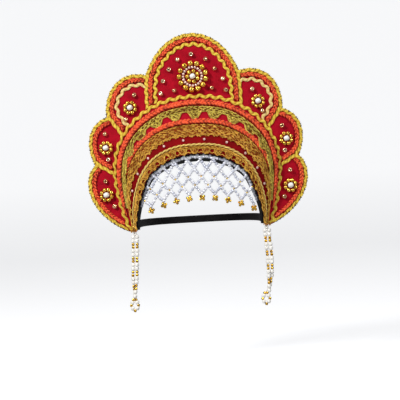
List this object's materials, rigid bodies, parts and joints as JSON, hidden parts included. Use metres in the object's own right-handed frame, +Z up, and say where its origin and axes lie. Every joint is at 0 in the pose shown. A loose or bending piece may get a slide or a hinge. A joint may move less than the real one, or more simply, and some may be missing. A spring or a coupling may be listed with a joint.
{
  "type": "kokoshnik headdress",
  "caption": "Lobed kokoshnik headdress: stiff crimson panel, sloping brow band with gold lace and rope braid, bead rosettes, beaded forehead net, hanging temple strings and nape elastic",
  "frame": {"origin": "where the underside of the head band rests on the head, in the middle of the arch", "axes": "+X to the right as seen from the front, -Y out of the front, +Z up"},
  "size_m": [0.2562, 0.1886, 0.3213],
  "materials": {
    "crimson_velvet": "crimson velvet, black cloth at the back",
    "dark_velvet": "dark red velvet",
    "black_cloth": "matt black cloth",
    "elastic": "ribbed black elastic",
    "yellow_braid": "woven yellow braid",
    "pale_braid": "woven pale yellow braid",
    "orange_rope": "plaited red-orange rope",
    "gold_lace": "metallic gold lace",
    "gold_cord": "twisted metallic gold cord",
    "gold_bead": "polished metallic gold",
    "pearl": "pearl lustre",
    "seed_bead": "glossy white seed beads with gold ones at some knots",
    "string_bead": "white pearls and gold beads"
  },
  "bodies": {
    "root": {"front_panel": "crimson_velvet", "brow_band": "dark_velvet", "head_band": "black_cloth", "nape_elastic": "elastic", "arch_braid": "yellow_braid", "edge_braid_centre": "yellow_braid", "edge_braid_upper_left": "yellow_braid", "edge_braid_upper_right": "yellow_braid", "edge_braid_middle_left": "yellow_braid", "edge_braid_middle_right": "yellow_braid", "edge_braid_lower_left": "yellow_braid", "edge_braid_lower_right": "yellow_braid", "rope_centre": "orange_rope", "rope_upper_left": "orange_rope", "rope_upper_right": "orange_rope", "rope_middle_left": "orange_rope", "rope_middle_right": "orange_rope", "rope_lower_left": "orange_rope", "rope_lower_right": "orange_rope", "inner_braid_centre": "yellow_braid", "inner_braid_upper_left": "pale_braid", "inner_braid_upper_right": "pale_braid", "crescent_rope_upper": "orange_rope", "crescent_rope_lower": "orange_rope", "gold_lace_upper": "gold_lace", "gold_lace_lower": "gold_lace", "rim_cord": "gold_cord", "rim_lace": "gold_lace", "rosette_ring_centre": "gold_bead", "rosette_ring_upper_left": "gold_bead", "rosette_ring_upper_right": "gold_bead", "rosette_ring_middle_left": "gold_bead", "rosette_ring_middle_right": "gold_bead", "rosette_ring_lower_left": "gold_bead", "rosette_ring_lower_right": "gold_bead", "rosette_pearl_centre": "pearl", "rosette_pearl_upper_left": "pearl", "rosette_pearl_upper_right": "pearl", "rosette_pearl_middle_left": "pearl", "rosette_pearl_middle_right": "pearl", "rosette_pearl_lower_left": "pearl", "rosette_pearl_lower_right": "pearl", "forehead_net": "seed_bead", "net_drop_1": "gold_bead", "net_drop_2": "gold_bead", "net_drop_3": "gold_bead", "net_drop_4": "gold_bead", "net_drop_5": "gold_bead", "net_drop_6": "gold_bead", "net_drop_7": "gold_bead", "net_drop_8": "gold_bead", "net_drop_9": "gold_bead", "temple_string_left": "string_bead", "temple_string_right": "string_bead"}
  },
  "joints": []
}
